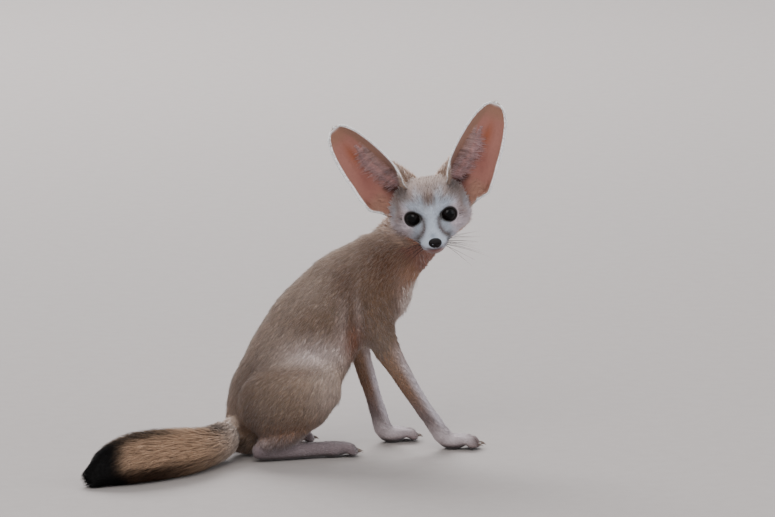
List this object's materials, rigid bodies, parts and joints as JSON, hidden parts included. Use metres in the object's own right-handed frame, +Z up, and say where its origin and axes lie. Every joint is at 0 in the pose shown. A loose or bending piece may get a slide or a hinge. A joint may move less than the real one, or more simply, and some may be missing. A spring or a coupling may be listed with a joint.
{
  "type": "fennec fox",
  "caption": "Life-size fennec fox sitting on its haunches, forelegs braced, head turned to its right, tail laid on the floor.",
  "frame": {"origin": "middle of the footprint, at floor level", "axes": "+X forward along the body, +Y to the fox's left, +Z up"},
  "size_m": [0.4592, 0.196, 0.3487],
  "materials": {
    "coat": "matte",
    "ear_skin": "satin",
    "nose_skin": "satin",
    "eye": "gloss",
    "claw": "satin"
  },
  "bodies": {
    "root": {"head": "coat", "nose": "nose_skin", "ear_left": "ear_skin", "ear_right": "ear_skin", "eye_left": "eye", "eye_right": "eye", "neck": "coat", "torso": "coat", "foreleg_left": "coat", "foreleg_right": "coat", "forepaw_left": "coat", "forepaw_right": "coat", "thigh_left": "coat", "thigh_right": "coat", "hindfoot_left": "coat", "hindfoot_right": "coat", "tail": "coat"}
  },
  "joints": []
}
